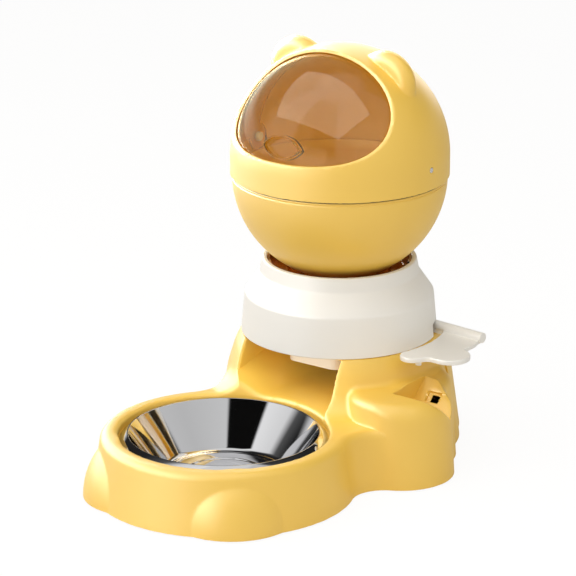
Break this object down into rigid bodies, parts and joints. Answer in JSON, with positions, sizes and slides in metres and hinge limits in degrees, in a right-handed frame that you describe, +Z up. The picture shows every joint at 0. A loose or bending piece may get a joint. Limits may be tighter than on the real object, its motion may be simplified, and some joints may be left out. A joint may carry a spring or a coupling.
{
  "type": "gravity pet feeder",
  "caption": "Ball-shaped gravity pet feeder with bear ears, a swing-up visor, a stepped collar with a slide gate, and a base with a steel bowl.",
  "frame": {"origin": "on the floor under the middle of the part's box", "axes": "+Z up along the hopper's axis, -Y the front with the bowl, +X the side of the gate's grip"},
  "size_m": [0.2567, 0.3871, 0.3543],
  "materials": {
    "yellow_plastic": "satin moulded",
    "white_plastic": "satin moulded",
    "visor_plastic": "clear, amber tinted, polished",
    "amber_plastic": "translucent",
    "bowl_steel": "polished stainless steel",
    "pin_steel": "turned",
    "foot_rubber": "matte",
    "seal_rubber": "matte"
  },
  "bodies": {
    "feeder": {"base_shell": "yellow_plastic", "rear_cover": "yellow_plastic", "base_plate": "yellow_plastic", "base_screws": "pin_steel", "foot_front_left": "foot_rubber", "foot_front_right": "foot_rubber", "foot_mid_left": "foot_rubber", "foot_mid_right": "foot_rubber", "foot_rear_left": "foot_rubber", "foot_rear_right": "foot_rubber", "food_bowl": "bowl_steel", "outlet_spout": "white_plastic", "spout_screws": "pin_steel", "feed_funnel": "white_plastic", "collar": "white_plastic", "collar_screws": "pin_steel", "neck_ring": "amber_plastic", "neck_seal": "seal_rubber", "hopper_bowl": "yellow_plastic", "seam_seal": "seal_rubber", "hopper_dome": "yellow_plastic", "pivot_pin_left": "pin_steel", "pivot_pin_right": "pin_steel", "pin_cap_left": "white_plastic", "pin_cap_right": "white_plastic"},
    "visor": {"visor": "visor_plastic"},
    "gate": {"gate_slide": "white_plastic"}
  },
  "joints": [
    {"name": "visor_hinge", "type": "hinge", "parent": "feeder", "child": "visor", "pos_m": [-0.0165, 0.08675, 0.25801], "axis": [-1, 0, 0], "range_deg": [0, 80]},
    {"name": "gate_pull", "type": "slide", "parent": "feeder", "child": "gate", "axis": [1, 0, 0], "range_m": [0, 0.044]}
  ]
}
